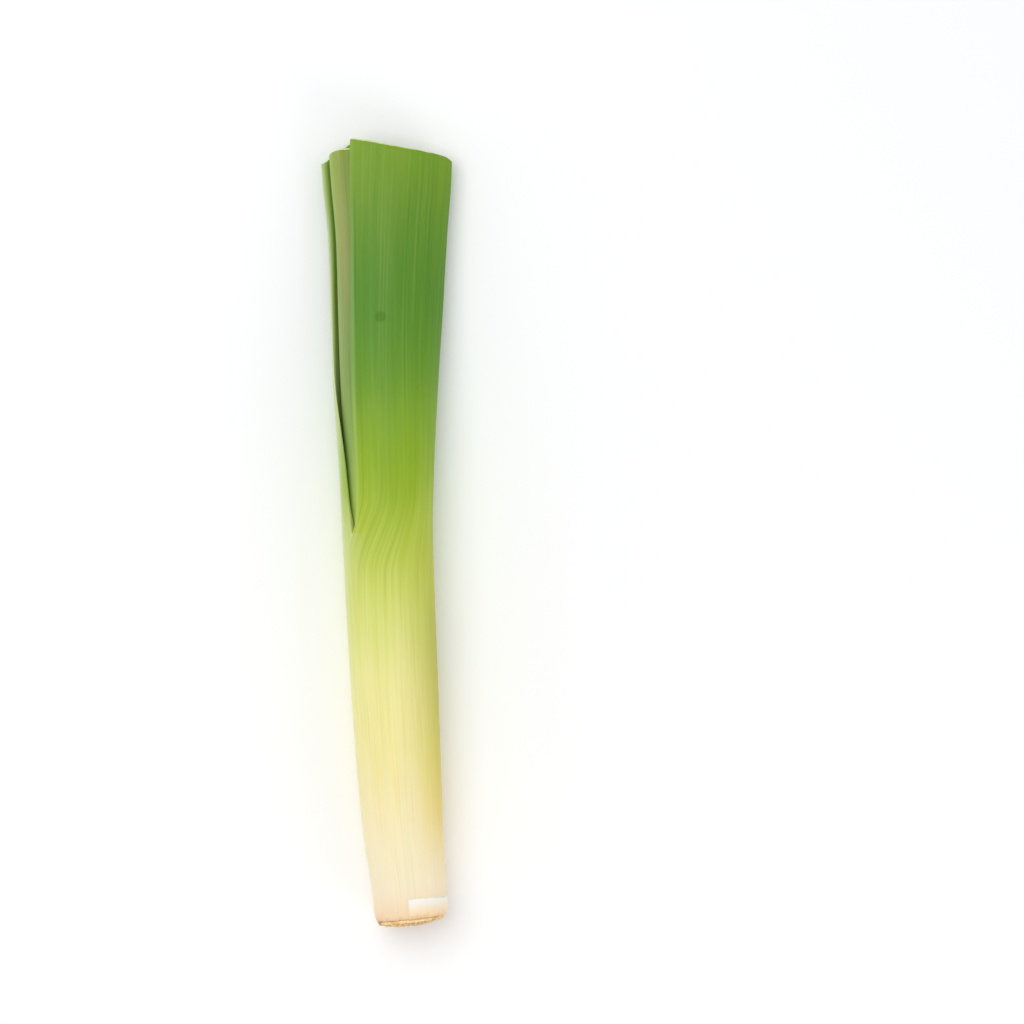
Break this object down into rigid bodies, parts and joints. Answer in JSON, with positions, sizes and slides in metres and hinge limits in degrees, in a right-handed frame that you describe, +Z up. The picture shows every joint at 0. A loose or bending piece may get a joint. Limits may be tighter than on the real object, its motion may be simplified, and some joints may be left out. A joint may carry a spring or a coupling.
{
  "type": "leek",
  "caption": "Trimmed leek lying on its side: pale sheath shaft with a root plate, opening into a flat fan of folded green leaves cut straight across.",
  "frame": {"origin": "on the surface it lies on, under the middle of its bounding box", "axes": "+Y along the leek from the root end to the leaf tips, +Z up, +X to the side of the outer leaf's fold"},
  "size_m": [0.0459, 0.276, 0.0305],
  "materials": {
    "root": "dry fibrous root tissue, matt",
    "outer_leaf": "waxy plant skin, satin; cream at the root end, mid green at the tips",
    "second_leaf": "waxy plant skin, satin; dull olive green with a brownish cast",
    "inner_leaf": "waxy plant skin, satin; yellow green",
    "heart": "tender plant skin, satin; pale yellow green"
  },
  "bodies": {
    "root": {"root_plate": "root", "outer_leaf": "outer_leaf", "second_leaf": "second_leaf", "third_leaf": "inner_leaf", "fourth_leaf": "inner_leaf", "fifth_leaf": "inner_leaf", "sixth_leaf": "inner_leaf", "heart_leaf": "heart"}
  },
  "joints": []
}
